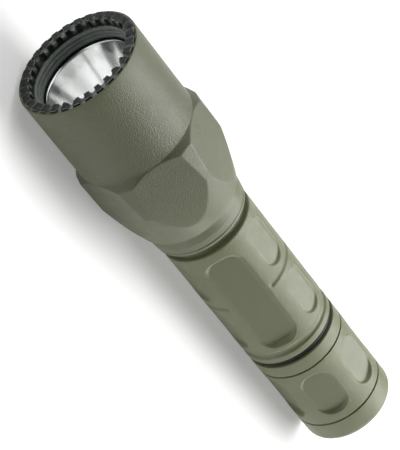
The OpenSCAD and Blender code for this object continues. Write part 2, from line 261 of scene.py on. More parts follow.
def thread(name, t0, t1, root_r, crest_r, phase):
    """Helical thread ridge: a trapezoid swept along the axis, fading in and out at its ends."""
    turns = (t1 - t0) / PITCH
    steps = int(turns * THREAD_STEPS_PER_TURN)
    s = np.linspace(0, 1, steps + 1)
    angle = 2 * math.pi * turns * s + phase
    fade = np.clip(np.minimum(s, 1 - s) * turns * 3, 0.08, 1)
    centre = t0 + (t1 - t0) * s
    half_root, half_crest = 0.27 * PITCH, 0.1 * PITCH
    sink = 0.05 * (1 if crest_r < root_r else -1)
    section = [(-half_root, sink, 0), (-half_crest, 0, 1), (half_crest, 0, 1), (half_root, sink, 0)]
    rings = []
    for dt, below, high in section:
        r = root_r + below + (crest_r - root_r) * high * fade
        rings.append(around_axis(centre + dt, r, angle))
    verts = np.stack(rings, 1).reshape(-1, 3)
    return closed_object(name, verts, tube_faces(steps + 1, len(section)), smooth=False)


# ---- materials ----


class Paint:
    """A node material under construction: one Principled shader and small helpers."""

    def __init__(self, name):
        self.material = bpy.data.materials.new(name)
        self.material.use_nodes = True
        self.nodes = self.material.node_tree.nodes
        self.links = self.material.node_tree.links
        self.shader = self.nodes["Principled BSDF"]
        self.coords = self.nodes.new("ShaderNodeTexCoord").outputs["Object"]

    def set(self, **values):
        """Constant values on the shader's own sockets, with _ for a space in a socket's name."""
        for key, value in values.items():
            self.shader.inputs[key.replace("_", " ")].default_value = value
        return self

    def noise(self, scale, detail=3.0, rough=0.55):
        node = self.nodes.new("ShaderNodeTexNoise")
        node.inputs["Scale"].default_value = scale
        node.inputs["Detail"].default_value = detail
        node.inputs["Roughness"].default_value = rough
        self.links.new(self.coords, node.inputs["Vector"])
        return node.outputs["Fac"]

    def cells(self, scale, smooth):
        node = self.nodes.new("ShaderNodeTexVoronoi")
        node.feature = "SMOOTH_F1"
        node.inputs["Scale"].default_value = scale
        node.inputs["Smoothness"].default_value = smooth
        self.links.new(self.coords, node.inputs["Vector"])
        return node.outputs["Distance"]

    def turned(self, scale, detail=2.0):
        """Fine lines round the axis, from noise that varies only with the radius and along the axis."""
        lines = self.nodes.new("ShaderNodeTexNoise")
        lines.noise_dimensions = "2D"
        lines.inputs["Scale"].default_value = 1.0
        lines.inputs["Detail"].default_value = detail
        at = self.nodes.new("ShaderNodeCombineXYZ")
        self.links.new(self.math("MULTIPLY", self.radius(), scale), at.inputs[0])
        self.links.new(self.math("MULTIPLY", self.along(), scale), at.inputs[1])
        self.links.new(at.outputs[0], lines.inputs["Vector"])
        return lines.outputs["Fac"]

    def stretched(self, stretch):
        """The piece's own coordinates, scaled along each axis."""
        node = self.nodes.new("ShaderNodeMapping")
        node.inputs["Scale"].default_value = stretch
        self.links.new(self.coords, node.inputs["Vector"])
        return node.outputs["Vector"]

    def math(self, operation, a, b=0.0):
        node = self.nodes.new("ShaderNodeMath")
        node.operation = operation
        for socket, value in zip(node.inputs, (a, b)):
            if isinstance(value, (int, float)):
                socket.default_value = value
            else:
                self.links.new(value, socket)
        return node.outputs[0]

    def remap(self, value, low, high, to_low, to_high):
        node = self.nodes.new("ShaderNodeMapRange")
        node.inputs["From Min"].default_value = low
        node.inputs["From Max"].default_value = high
        node.inputs["To Min"].default_value = to_low
        node.inputs["To Max"].default_value = to_high
        self.links.new(value, node.inputs["Value"])
        return node.outputs["Result"]

    def mix(self, factor, a, b):
        node = self.nodes.new("ShaderNodeMix")
        node.data_type = "RGBA"
        for socket, value in ((node.inputs[0], factor), (node.inputs[6], a), (node.inputs[7], b)):
            if isinstance(value, (int, float)):
                socket.default_value = value
            elif isinstance(value, tuple):
                socket.default_value = (*value, 1.0)
            else:
                self.links.new(value, socket)
        return node.outputs[2]

    def bump(self, height, distance, strength=1.0, under=None):
        node = self.nodes.new("ShaderNodeBump")
        if isinstance(strength, float):
            node.inputs["Strength"].default_value = strength
        else:
            self.links.new(strength, node.inputs["Strength"])
        node.inputs["Distance"].default_value = distance
        self.links.new(height, node.inputs["Height"])
        if under is not None:
            self.links.new(under, node.inputs["Normal"])
        return node.outputs["Normal"]

    def attribute(self, name):
        node = self.nodes.new("ShaderNodeAttribute")
        node.attribute_name = name
        return node.outputs["Fac"]

    def radius(self):
        """Distance from the X axis."""
        split = self.nodes.new("ShaderNodeSeparateXYZ")
        self.links.new(self.coords, split.inputs[0])
        y2 = self.math("MULTIPLY", split.outputs[1], split.outputs[1])
        z2 = self.math("MULTIPLY", split.outputs[2], split.outputs[2])
        return self.math("SQRT", self.math("ADD", y2, z2))

    def along(self):
        """Place along the X axis."""
        split = self.nodes.new("ShaderNodeSeparateXYZ")
        self.links.new(self.coords, split.inputs[0])
        return split.outputs[0]

    def feed(self, key, value):
        """Link a computed value to one of the shader's sockets."""
        self.links.new(value, self.shader.inputs[key])


# radii in metres where a finish changes
LEDGE_FULL_R, LEDGE_END_R = 0.01262, 0.0129
WRAP_INNER_R = 0.0078
BOARD_RIM_R = 0.0098
PHOSPHOR_FULL_R, PHOSPHOR_END_R = 0.00115, 0.0013
# the cell's black band starts at this share of its length
BAND_START = 0.78
OLIVE_ROUGH = 0.46
# a pocket's floor is painted this much darker in tone as painted shade, and is less rough and less pebbled
# than the skin round it
FLOOR_PAINTED_SHADE_MIX, FLOOR_PAINTED_SHADE_SCALE = 0.85, 0.94
FLOOR_POLISH, FLOOR_RELIEF = 0.04, 0.6
STRETCH_RELIEF = 0.5


def olive_coating(name, tone, deep, bright, grain_scale, grain_depth, worn, painted_light_stretch=None):
    """Olive finish: blotchy tone, fine pebbled grain, edges worn lighter, and smoother pocket floors painted
    darker as shade.

    The last argument is (x where it starts, x where it is full, colour) of a stretch painted lighter as
    painted light, where the pebbles are also shallower.
    """
    p = Paint(name)
    edge = p.attribute("edge")
    worn_edge = p.math("MAXIMUM", edge, 0.0)
    floor = p.math("MAXIMUM", p.math("MULTIPLY", edge, -1.0), 0.0)
    blotch = p.noise(55.0, 4.0, 0.6)
    speck = p.noise(grain_scale * 1.7, 2.0, 0.5)
    base = p.mix(p.remap(blotch, 0.35, 0.65, 0.0, 1.0), deep, tone)
    relief = p.remap(floor, 0.0, 1.0, 1.0, FLOOR_RELIEF)
    # painted light: over the given stretch the tone is painted lighter and the pebbles are made shallower
    if painted_light_stretch:
        start, full, painted_lit_tone = painted_light_stretch
        painted_light_ramp = p.remap(p.along(), start, full, 0.0, 1.0)
        base = p.mix(painted_light_ramp, base, painted_lit_tone)
        relief = p.math("MULTIPLY", relief, p.remap(painted_light_ramp, 0.0, 1.0, 1.0, STRETCH_RELIEF))
    base = p.mix(p.remap(speck, 0.45, 0.8, 0.0, 0.35), base, bright)
    lighter_mark = p.math("MULTIPLY", worn_edge, p.remap(p.noise(420.0, 4.0, 0.6), 0.4, 0.7, 0.2, 1.0))
    base = p.mix(p.math("MULTIPLY", lighter_mark, worn), base, bright)
    # painted shade: the pocket floors are painted darker
    floor_painted_shade = tuple(FLOOR_PAINTED_SHADE_SCALE * c for c in deep)
    p.feed("Base Color", p.mix(p.math("MULTIPLY", floor, FLOOR_PAINTED_SHADE_MIX), base, floor_painted_shade))
    even = p.remap(p.noise(300.0, 3.0, 0.6), 0.3, 0.7, OLIVE_ROUGH - 0.05, OLIVE_ROUGH + 0.06)
    p.feed("Roughness", p.math("SUBTRACT", even, p.math("MULTIPLY", floor, FLOOR_POLISH)))
    pebbles = p.math("MULTIPLY", p.cells(grain_scale, 0.8), 0.8)
    height = p.math("ADD", pebbles, p.noise(grain_scale * 0.9, 3.0, 0.6))
    p.feed("Normal", p.bump(height, grain_depth, relief))
    return p.set(Specular_IOR_Level=0.5).material


def black_anodised(name):
    """Black anodised aluminium with fine turning lines round the axis and a paler turned ledge."""
    p = Paint(name)
    turning = p.turned(9000.0, 3.0)
    cloud = p.noise(260.0, 4.0, 0.6)
    base = p.mix(p.remap(cloud, 0.3, 0.7, 0.0, 1.0), (0.007, 0.01, 0.0085), (0.013, 0.018, 0.0155))
    ledge = p.remap(p.radius(), LEDGE_FULL_R, LEDGE_END_R, 1.0, 0.0)
    base = p.mix(ledge, base, (0.145, 0.167, 0.154))
    # marked places are painted lighter: worn edges, and on the crown painted highlights and painted light on
    # the notch floors
    lighter_mark = p.math("MULTIPLY", p.attribute("edge"), p.remap(p.noise(900.0), 0.4, 0.7, 0.3, 0.9))
    p.feed("Base Color", p.mix(lighter_mark, base, (0.34, 0.36, 0.335)))
    p.feed("Roughness", p.remap(cloud, 0.3, 0.7, 0.25, 0.38))
    grain = p.bump(p.noise(5200.0, 2.0, 0.5), 0.000006)
    p.feed("Normal", p.bump(turning, 0.000008, 1.0, grain))
    return p.set(Specular_IOR_Level=0.1).material


def bare_metal(name, colour, rough, line_scale=7000.0):
    """Turned bare metal: lines round the axis and slight staining."""
    p = Paint(name)
    stain = p.noise(320.0, 4.0, 0.6)
    dark = tuple(c * 0.8 for c in colour)
    p.feed("Base Color", p.mix(p.remap(stain, 0.35, 0.7, 0.0, 1.0), colour, dark))
    p.feed("Roughness", p.remap(stain, 0.3, 0.7, rough - 0.06, rough + 0.1))
    p.feed("Normal", p.bump(p.turned(line_scale), 0.00001))
    return p.set(Metallic=1.0).material


def rubber(name, colour, rough, grain=3600.0):
    """Black rubber with a film of dust."""
    p = Paint(name)
    dust = p.noise(500.0, 4.0, 0.65)
    light = tuple(c * 1.9 + 0.004 for c in colour)
    p.feed("Base Color", p.mix(p.remap(dust, 0.4, 0.75, 0.0, 0.7), colour, light))
    p.feed("Roughness", p.remap(dust, 0.3, 0.7, rough - 0.06, rough + 0.08))
    p.feed("Normal", p.bump(p.noise(grain, 3.0, 0.6), 0.00001))
    return p.set(Specular_IOR_Level=0.2).material


def moulded(name, colour, rough=0.5, grain=3000.0):
    """Moulded plastic or enamel with a slightly uneven tone."""
    p = Paint(name)
    cloud = p.noise(240.0, 4.0, 0.6)
    dark = tuple(c * 0.85 for c in colour)
    p.feed("Base Color", p.mix(p.remap(cloud, 0.3, 0.7, 0.0, 1.0), colour, dark))
    p.feed("Roughness", p.remap(cloud, 0.3, 0.7, rough - 0.05, rough + 0.07))
    p.feed("Normal", p.bump(p.noise(grain, 2.0, 0.5), 0.000008))
    return p.material


def mirror(name):
    """Vacuum-metallised reflector with a light haze and a trace of turning."""
    p = Paint(name)
    haze = p.noise(380.0, 4.0, 0.6)
    clear, hazed = (0.97, 0.965, 0.96), (0.94, 0.935, 0.93)
    p.feed("Base Color", p.mix(p.remap(haze, 0.35, 0.7, 0.0, 1.0), clear, hazed))
    p.feed("Roughness", p.remap(haze, 0.3, 0.7, 0.14, 0.16))
    rings = p.nodes.new("ShaderNodeTexNoise")
    rings.noise_dimensions = "1D"
    rings.inputs["Detail"].default_value = 2.0
    p.links.new(p.math("MULTIPLY", p.along(), 1800.0), rings.inputs["W"])
    p.feed("Normal", p.bump(rings.outputs["Fac"], 0.0000015))
    return p.set(Metallic=1.0).material


def glass(name, tint, rough):
    """Clear glass or silicone with a thin uneven film."""
    p = Paint(name)
    film = p.noise(120.0, 3.0, 0.5)
    p.feed("Roughness", p.remap(film, 0.3, 0.8, rough, rough + 0.015))
    pale = tuple(min(1.0, c * 1.02) for c in tint)
    p.feed("Base Color", p.mix(p.remap(film, 0.3, 0.7, 0.0, 1.0), tint, pale))
    return p.set(Transmission_Weight=1.0, IOR=1.5).material


def cell_wrap(name):
    """Lithium cell: steel ends, and a plain two-colour shrink wrap with no lettering."""
    p = Paint(name)
    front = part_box("battery_front")
    length = front[1].x - front[0].x
    back = front[1].x - 2 * length
    place = p.math("MODULO", p.math("SUBTRACT", p.along(), back), length)
    band = p.math("GREATER_THAN", place, length * BAND_START)
    sleeve = p.mix(band, (0.46, 0.05, 0.035), (0.03, 0.03, 0.035))
    cloud = p.noise(200.0, 4.0, 0.6)
    sleeve = p.mix(p.remap(cloud, 0.35, 0.7, 0.0, 0.25), sleeve, (0.6, 0.2, 0.16))
    outer = p.math("GREATER_THAN", p.radius(), WRAP_INNER_R)
    p.feed("Base Color", p.mix(outer, (0.62, 0.62, 0.6), sleeve))
    p.feed("Metallic", p.math("SUBTRACT", 1.0, outer))
    p.feed("Roughness", p.remap(cloud, 0.3, 0.7, 0.25, 0.4))
    p.feed("Normal", p.bump(p.noise(900.0, 3.0, 0.6), 0.00001))
    return p.material


def circuit_board(name):
    """Solder mask over copper tracks, with a bare ring of copper at the rim."""
    p = Paint(name)
    tracks = p.nodes.new("ShaderNodeTexBrick")
    tracks.inputs["Scale"].default_value = 900.0
    tracks.inputs["Mortar Size"].default_value = 0.06
    p.links.new(p.stretched((0.0, 1.0, 1.0)), tracks.inputs["Vector"])
    between = p.math("LESS_THAN", tracks.outputs["Fac"], 0.5)
    mask = p.mix(between, (0.03, 0.16, 0.08), (0.015, 0.09, 0.045))
    rim = p.math("GREATER_THAN", p.radius(), BOARD_RIM_R)
    p.feed("Base Color", p.mix(rim, mask, (0.72, 0.5, 0.25)))
    p.feed("Metallic", rim)
    p.feed("Roughness", p.remap(p.noise(400.0), 0.3, 0.7, 0.3, 0.45))
    p.feed("Normal", p.bump(tracks.outputs["Fac"], 0.00002))
    return p.material


def led_phosphor(name):
    """White ceramic package with a round yellow phosphor field."""
    p = Paint(name)
    field = p.remap(p.radius(), PHOSPHOR_FULL_R, PHOSPHOR_END_R, 1.0, 0.0)
    ceramic = p.mix(p.remap(p.noise(900.0), 0.3, 0.7, 0.0, 1.0), (0.82, 0.82, 0.78), (0.7, 0.7, 0.66))
    p.feed("Base Color", p.mix(field, ceramic, (0.86, 0.62, 0.08)))
    p.feed("Roughness", p.remap(p.noise(700.0), 0.3, 0.7, 0.4, 0.55))
    return p.material


def backdrop(name):
    """White paper."""
    p = Paint(name)
    cloud = p.noise(3.0, 2.0, 0.5)
    p.feed("Base Color", p.mix(cloud, (0.7, 0.7, 0.7), (0.71, 0.71, 0.705)))
    # lit weakly from below, like a light table, so that the shadow stays pale
    p.set(Roughness=0.9, Specular_IOR_Level=0.1, Emission_Color=(1, 1, 1, 1), Emission_Strength=0.27)
    return p.material


TONE = (0.084, 0.0935, 0.047)
DEEP = (0.073, 0.082, 0.04)
BRIGHT = (0.175, 0.187, 0.112)
POLYMER = (0.144, 0.156, 0.08)
POLYMER_DEEP = (0.124, 0.135, 0.067)
# the head's tone is painted lighter toward its neck as painted light
NECK_PAINTED_LIGHT_TONE = (0.112, 0.123, 0.066)
HEAD_COAT = olive_coating("olive_head_coating", TONE, DEEP, BRIGHT, grain_scale=3000.0, grain_depth=0.00008,
                          worn=0.35, painted_light_stretch=(0.034, 0.014, NECK_PAINTED_LIGHT_TONE))
BODY_COAT = olive_coating("olive_polymer", POLYMER, POLYMER_DEEP, BRIGHT, grain_scale=3200.0,
                          grain_depth=0.00007, worn=0.3)
BLACK = black_anodised("black_anodised")
STEEL = bare_metal("plain_aluminium", (0.72, 0.73, 0.74), 0.28)
BRASS = bare_metal("pill_brass", (0.72, 0.53, 0.24), 0.3)
GOLD = bare_metal("gold_contact", (0.83, 0.62, 0.26), 0.2, 12000.0)
SPRING = bare_metal("spring_steel", (0.58, 0.59, 0.6), 0.22, 12000.0)
SEAL = rubber("black_rubber", (0.012, 0.012, 0.013), 0.42)
BOOT = rubber("boot_rubber", (0.014, 0.0145, 0.0145), 0.6, 2400.0)
WHITE = moulded("white_plastic", (0.78, 0.78, 0.74))
NYLON = moulded("black_nylon", (0.022, 0.022, 0.024), 0.45)
CHIP = moulded("black_component", (0.028, 0.028, 0.03), 0.4, 1800.0)
WIRE = moulded("wire_insulation", (0.42, 0.03, 0.025), 0.4)
BOARD_WHITE = moulded("board_aluminium", (0.76, 0.78, 0.76), 0.35)

PLAIN = {
    "lens_seal": SEAL, "head_oring": SEAL, "tail_oring": SEAL,
    "led_package": led_phosphor("led_package"), "led_centering_ring": WHITE,
    "led_board": BOARD_WHITE, "heat_sink": BRASS, "led_wires": WIRE,
    "driver_components": CHIP, "driver_board": circuit_board("green_board"),
    "driver_retaining_ring": BRASS, "body_liner": STEEL,
    "battery_front": cell_wrap("cell_wrap"), "tail_contact_disc": GOLD,
    "switch_retaining_ring": STEEL, "switch_housing": NYLON, "boot_washer": SPRING,
    "switch_plunger": WHITE, "plunger_contact_pin": GOLD,
    "led_dome": glass("led_dome", (1.0, 0.95, 0.7), 0.03),
}
PLAIN["battery_rear"] = PLAIN["battery_front"]


def paint(obj, material):
    """Give the whole piece one material."""
    obj.data.materials.clear()
    obj.data.materials.append(material)


def finish_piece(obj, material, node, body):
    """Paint a detailed piece, let it ride on its body and stand for its CAD node."""
    paint(obj, material)
    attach(obj, body)
    if node:
        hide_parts(node)


for node_name, node_material in PLAIN.items():
    paint(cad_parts[node_name], node_material)


# ---- head ----

FLAT_TILT = math.tan(math.radians(3.3))
CONE_START, CONE_END = 35.3, 50.0
BLANK_R, CONE_END_R, CONE_ARC = 17.9, 13.78, 224.0
FACET_APOTHEM = 17.2
FLAT_APOTHEM = 15.98
COLLAR_START = 25.6
NECK_R, HEAD_BORE_R = 13.7, 13.65
CORNER_BLEND = 0.1


def cone_corners():
    """Outline points of the head's long rear cone, a very shallow arc."""
    a, b = np.array([CONE_START, BLANK_R]), np.array([CONE_END, CONE_END_R])
    chord = np.linalg.norm(b - a)
    sag = CONE_ARC - math.sqrt(CONE_ARC ** 2 - chord ** 2 / 4)
    out = np.array([-(b - a)[1], (b - a)[0]]) / chord
    points = [a + s * (b - a) + 4 * s * (1 - s) * sag * out for s in np.linspace(0, 1, 7)]
    return [(p[0], p[1], 0.0) for p in points[1:-1]]


HEAD_CORNERS = (
    [(0.55, 15.41, 0.04), (0.55, BARREL_R, 0.16), (COLLAR_START, BARREL_R, 0.3),
     (28.23, BLANK_R, 0.2), (CONE_START, BLANK_R, 0.4)]
    + cone_corners()
    + [(CONE_END, CONE_END_R, 0.14), (50.3, 13.1, 0.14), (51.3, 12.84, 0.5), (53.4, 12.92, 1.0),
       (54.9, 12.74, 0.2), (55.1, 12.52, 0.1), (55.5, 12.52, 0.1), (55.66, 12.62, 0.15),
       (56.4, 12.52, 0.3), (56.4, 11.06, 0.05), (43.3, 11.06, 0.05), (43.3, 12.66, 0.05),
       (30.0, 12.66, 0.05), (30.0, 13.6, 0.05), (9.4, 13.6, 0.05), (9.4, 14.66, 0.05),
       (2.7, 14.66, 0.05), (2.7, 15.41, 0.05)]
)


def head_shape(t, r, phi):
    """Six tilted flats and six level corner facets cut into the turned collar."""
    outside = (t > COLLAR_START - 0.6) & (t < CONE_END) & (r > NECK_R)
    behind = t - COLLAR_START
    flat = (FLAT_APOTHEM - behind * FLAT_TILT) / np.cos(nearest(phi, 6))
    facet = FACET_APOTHEM / np.cos(nearest(phi - SIXTH / 2, 6))
    planes, corner = soft_min(flat, facet, CORNER_BLEND)
    cut, rim = soft_min(r, planes, CORNER_BLEND)
    edge = np.maximum(corner * (planes < r + 0.2), rim)
    return t, np.where(outside, cut, r), np.where(outside, edge, 0)


def head_step(t, r):
    """Coarse in the bore, fine where the flats cut the collar and the cone."""
    if r < HEAD_BORE_R and t < 44:
        return 8.0
    return 0.3 if COLLAR_START - 1 < t < CONE_END + 0.5 and r > 12 else 2.5


head = shell("head_shell_skin", HEAD_CORNERS, 444, head_step, head_shape, 4)
finish_piece(head, HEAD_COAT, "head_shell", "light")

NOTCHES = 30
NOTCH_DEPTH = 0.95
NOTCH_HALF = 0.7
NOTCH_ZONE = 2.2
SLOT_PHI = math.radians(24)
BEZEL_IN_R, SLOT_DEPTH = 12.95, 0.5
# the wrench slots fade out at this radius, and their sides rise between these half widths
SLOT_OUT_R, SLOT_END_T = 14.2, 2.5
SLOT_HALF_OUTER, SLOT_HALF_INNER = 1.36, 1.18
LEDGE_OUT_R = 12.75
# how much the crown is painted lighter: land shoulders worn and given a painted highlight, ledge lines given
# a painted highlight, wrench slots worn
LAND_WEAR_AND_HIGHLIGHT, LINE_PAINTED_HIGHLIGHT, SLOT_WEAR = 0.25, 0.9, 0.3
LEDGE_LINES = (2.4, 2.78, 3.22, 3.78, 4.22, 4.78)
BEZEL_CORNERS = [
    (0.0, BEZEL_IN_R, 0.28), (0.0, 15.36, 0.2), (2.6, 15.36, 0.05), (2.6, 14.6, 0.0), (9.2, 14.6, 0.0),
    (9.2, 13.45, 0.0), (4.9, 13.45, 0.0), (4.9, 12.4, 0.0), (5.5, 12.4, 0.0), (5.5, 12.2, 0.04),
    (4.85, 12.2, 0.0), (4.78, 12.3, 0.0), (4.3, 12.3, 0.0), (4.22, 12.24, 0.0), (3.85, 12.28, 0.0),
    (3.78, 12.4, 0.0), (3.3, 12.42, 0.0), (3.22, 12.36, 0.0), (2.85, 12.46, 0.0), (2.78, 12.58, 0.0),
    (2.4, 12.66, 0.05), (2.4, BEZEL_IN_R, 0.04),
]


def bezel_shape(t, r, phi):
    """U-shaped notches in the front face and six wrench slots in the inner wall."""
    lateral = np.abs(nearest(phi, NOTCHES)) * r
    depth = NOTCH_DEPTH * np.sqrt(1 - np.clip(lateral / NOTCH_HALF, 0, 1) ** 3)
    front = np.clip(1 - t / NOTCH_ZONE, 0, 1)
    beside = np.abs(nearest(phi - SLOT_PHI, 6)) * r
    wall = np.clip((SLOT_OUT_R - r) / (SLOT_OUT_R - BEZEL_IN_R), 0, 1)
    wall = wall * (r > BEZEL_IN_R - 0.06) * (t < SLOT_END_T)
    slot = smoothstep(SLOT_HALF_OUTER, SLOT_HALF_INNER, beside) * wall
    land_edge = np.exp(-((lateral - NOTCH_HALF - 0.06) / 0.12) ** 2) * (front > 0.85)
    lines = sum(np.exp(-((t - at) / 0.03) ** 2) for at in LEDGE_LINES) * (r < LEDGE_OUT_R)
    # marks: land shoulders, worn and given a painted highlight; whole notch floors, painted lighter as
    # painted light; ledge lines, painted highlights; wrench slots, worn
    edge = np.maximum(np.maximum(LAND_WEAR_AND_HIGHLIGHT * land_edge, depth / NOTCH_DEPTH * front), LINE_PAINTED_HIGHLIGHT * lines)
    edge = np.maximum(edge, SLOT_WEAR * slot)
    return t + depth * front, r + SLOT_DEPTH * slot, edge


def bezel_step(t, r):
    """Finest at both rims of the crown, fine on the rest of it."""
    if t >= 2.3:
        return 1.6
    return 0.22 if r < 13.3 or r > 15.2 else 0.35


bezel = shell("bezel_ring_crown", BEZEL_CORNERS, 900, bezel_step, bezel_shape, 4)
finish_piece(bezel, BLACK, "bezel_ring", "light")

LENS = [
    (5.55, 0), (5.55, 13.1), (5.6, 13.25), (5.7, 13.3),
    (6.6, 13.3), (6.7, 13.25), (6.75, 13.1), (6.75, 0),
]
lens = lathe("lens_window", LENS, 160)
for polygon in lens.data.polygons:
    polygon.use_smooth = abs(polygon.normal.x) < 0.9
LENS_GLASS = glass("lens_glass", (0.97, 0.99, 0.985), 0.004)
finish_piece(lens, LENS_GLASS, "lens", "light")

MOUTH_R, BOWL_FOCAL, MIRROR_T, THROAT_R = 11.8, 1.7, 6.75, 2.9
VERTEX_T = MIRROR_T + MOUTH_R ** 2 / (4 * BOWL_FOCAL)
BACK_T = 26.4


def reflector_corners():
    """A parabolic bowl open to the LED at its throat, in a plain conical body with a front flange."""
    radii = MOUTH_R - (MOUTH_R - THROAT_R) * np.linspace(0, 1, 60)
    bowl = [(VERTEX_T - r * r / (4 * BOWL_FOCAL), r, 0.0) for r in radii]
    return bowl + [(BACK_T, THROAT_R, 0.0), (BACK_T, 6.0, 0.2), (8.55, 12.6, 0.1), (8.55, 13.25, 0.05),
                   (MIRROR_T, 13.25, 0.05)]


reflector = shell("reflector_bowl", reflector_corners(), 192, lambda t, r: 1.5)
finish_piece(reflector, mirror("mirror_reflector"), "reflector", "light")

front_coil = coil("driver_spring_wire", t0=41.8, t1=44.5, r0=3.9, r1=2.3, wire_r=0.32, turns=2.75,
                  flat_turns=0.8)
finish_piece(front_coil, GOLD, "driver_spring", "light")

# ---- body ----

PANEL_PHI = math.radians(70)
BODY_START, BODY_END = 58.7, 99.4
ROWS = ((60.4, 75.1), (79.6, 93.8))
SCALLOP_HALF, SCALLOP_FLOOR = 4.0, 11.58
PANEL = (61.6, 94.5)
PANEL_HALF, PANEL_FLOOR, PANEL_CORNER = 5.4, 11.1, 4.2
SCALLOP_CORNER = 3.9
# the soft ring between the rows, which fades out at this distance from the panel's sides
RING_T, RING_HALF, RING_DEPTH = 77.35, 0.9, 0.36
RING_FADE = (0.5, 1.3)
# walls of pockets and of the panel: eased over this width, and at least this deep
POCKET_WALL, POCKET_STEP = 0.4, 0.24
PANEL_WALL, PANEL_STEP = 0.9, 0.3
SKIN_R = 12
# a pocket is cut only where the skin faces its centre by at least this cosine
FACING = 0.6
BODY_CORNERS = [
    (43.6, 9.4, 0.05), (43.6, 11.0, 0.3), (52.9, 11.0, 0.05), (52.9, 9.98, 0.05), (54.3, 9.98, 0.05),
    (54.3, 11.0, 0.05), (BODY_START, 11.0, 0.1), (BODY_START, BODY_R, 0.4),
    (95.5, BODY_R, 0.4), (96.2, 11.8, 0.3), (97.2, 11.8, 0.3), (97.75, BODY_R, 0.25),
    (BODY_END, BODY_R, 0.25), (BODY_END, 10.1, 0.05), (101.3, 10.1, 0.05), (101.3, 11.12, 0.08),
    (103.2, 11.12, 0.1), (103.4, 10.6, 0.1), (109.0, 10.6, 0.3), (109.0, 9.4, 0.05),
]


def pocket_depth(t, lateral, t0, t1, half, corner):
    """Signed distance inside a round-ended pocket, in mm; positive inside."""
    dt = np.abs(t - (t0 + t1) / 2) - ((t1 - t0) / 2 - corner)
    dy = np.abs(lateral) - (half - corner)
    outside = np.hypot(np.maximum(dt, 0), np.maximum(dy, 0))
    return corner - outside - np.minimum(np.maximum(dt, dy), 0)


def carve(t, r, phi, centre, t0, t1, half, corner, floor, wall, step):
    """Cut one flat-floored pocket at least step deep, its wall eased over wall mm.

    Gives the radius and a mark: positive on the rim, negative on the floor.
    """
    angle = wrap(phi - centre)
    lateral = r * np.sin(angle)
    inside = pocket_depth(t, lateral, t0, t1, half, corner)
    facing = np.cos(angle) > FACING
    plane = floor / np.maximum(np.cos(angle), FACING)
    amount = smoothstep(0, wall, inside) * facing
    lower = np.minimum(r - step, plane)
    rim = np.exp(-((inside - 0.02) / 0.16) ** 2) * smoothstep(0.05, 0.3, r - lower) * facing
    bottom = smoothstep(wall, wall + 0.3, inside) * facing
    return r + (lower - r) * amount, rim - bottom


def body_shape(t, r, phi):
    """Two rows of grip scallops, the plain name panel and the soft ring between the rows."""
    skin = (t > BODY_START + 0.2) & (t < 95.3) & (r > SKIN_R)
    cut, edge = r.copy(), np.zeros_like(r)
    for k in range(1, 6):
        centre = PANEL_PHI + k * math.pi / 3
        for row in ROWS:
            cut, mark = carve(t, cut, phi, centre, *row, SCALLOP_HALF, SCALLOP_CORNER, SCALLOP_FLOOR,
                              POCKET_WALL, POCKET_STEP)
            edge += mark
    cut, mark = carve(t, cut, phi, PANEL_PHI, *PANEL, PANEL_HALF, PANEL_CORNER, PANEL_FLOOR,
                      PANEL_WALL, PANEL_STEP)
    edge += mark
    from_panel = np.abs(wrap(phi - PANEL_PHI)) * BODY_R - PANEL_HALF
    groove = smoothstep(RING_HALF, 0.0, np.abs(t - RING_T)) * smoothstep(*RING_FADE, from_panel)
    cut = cut - RING_DEPTH * groove
    return t, np.where(skin, cut, r), np.where(skin, edge, 0)


def body_step(t, r):
    """Coarse in the bore, fine on the grip."""
    if r < 9.6:
        return 20.0
    return 0.22 if BODY_START < t < 96 and r > SKIN_R else 2.0


body = shell("body_tube_skin", BODY_CORNERS, 360, body_step, body_shape, 4)
finish_piece(body, BODY_COAT, "body_tube", "light")

# both threads start at one station, half a turn apart, so their ridges lie between each other
THREAD_START = 103.9
outer_thread = thread("body_tail_thread", t0=THREAD_START, t1=108.6, root_r=10.6, crest_r=11.05, phase=0.0)
finish_piece(outer_thread, BODY_COAT, None, "light")

# ---- tailcap ----

CAP_START = 101.2
CAP_CORNERS = [
    (CAP_START, 11.2, 0.12), (CAP_START, BODY_R, 0.25), (104.98, BODY_R, 0.1), (105.02, 11.85, 0.03),
    (105.46, 11.85, 0.03), (105.5, BODY_R, 0.1), (125.0, BODY_R, 0.1), (125.04, 11.85, 0.03),
    (125.5, 11.85, 0.03), (125.54, BODY_R, 0.1), (TOTAL_LEN, BODY_R, 2.8), (TOTAL_LEN, 8.7, 0.3),
    (131.4, 8.1, 0.3), (127.5, 8.1, 0.05), (127.5, 10.0, 0.05), (110.2, 10.0, 0.05), (110.2, 11.2, 0.05),
]
POCKET = (107.5, 122.5)
POCKET_HALF, POCKET_FLOOR, POCKET_CORNER = 4.45, 11.3, 4.3
CAP_SKIN = (106, 124.6)


def cap_shape(t, r, phi):
    """Six round-ended grip pockets."""
    skin = (t > CAP_SKIN[0]) & (t < CAP_SKIN[1]) & (r > SKIN_R)
    cut, edge = r.copy(), np.zeros_like(r)
    for k in range(6):
        centre = PANEL_PHI + k * math.pi / 3
        cut, mark = carve(t, cut, phi, centre, *POCKET, POCKET_HALF, POCKET_CORNER, POCKET_FLOOR,
                          POCKET_WALL, POCKET_STEP)
        edge += mark
    return t, np.where(skin, cut, r), np.where(skin, edge, 0)


def cap_step(t, r):
    """Coarse inside, fine across the pockets."""
    if r < 11.5:
        return 6.0
    return 0.2 if CAP_SKIN[0] < t < CAP_SKIN[1] else 1.0


cap = shell("tailcap_skin", CAP_CORNERS, 372, cap_step, cap_shape, 8)
finish_piece(cap, BODY_COAT, "tailcap_shell", "tailcap")

inner_thread = thread("tailcap_thread", t0=THREAD_START, t1=109.6, root_r=11.2, crest_r=10.78, phase=math.pi)
finish_piece(inner_thread, BODY_COAT, None, "tailcap")

BOOT_R, BOOT_TOP, BOOT_WALL = 7.7, 131.6, 1.3
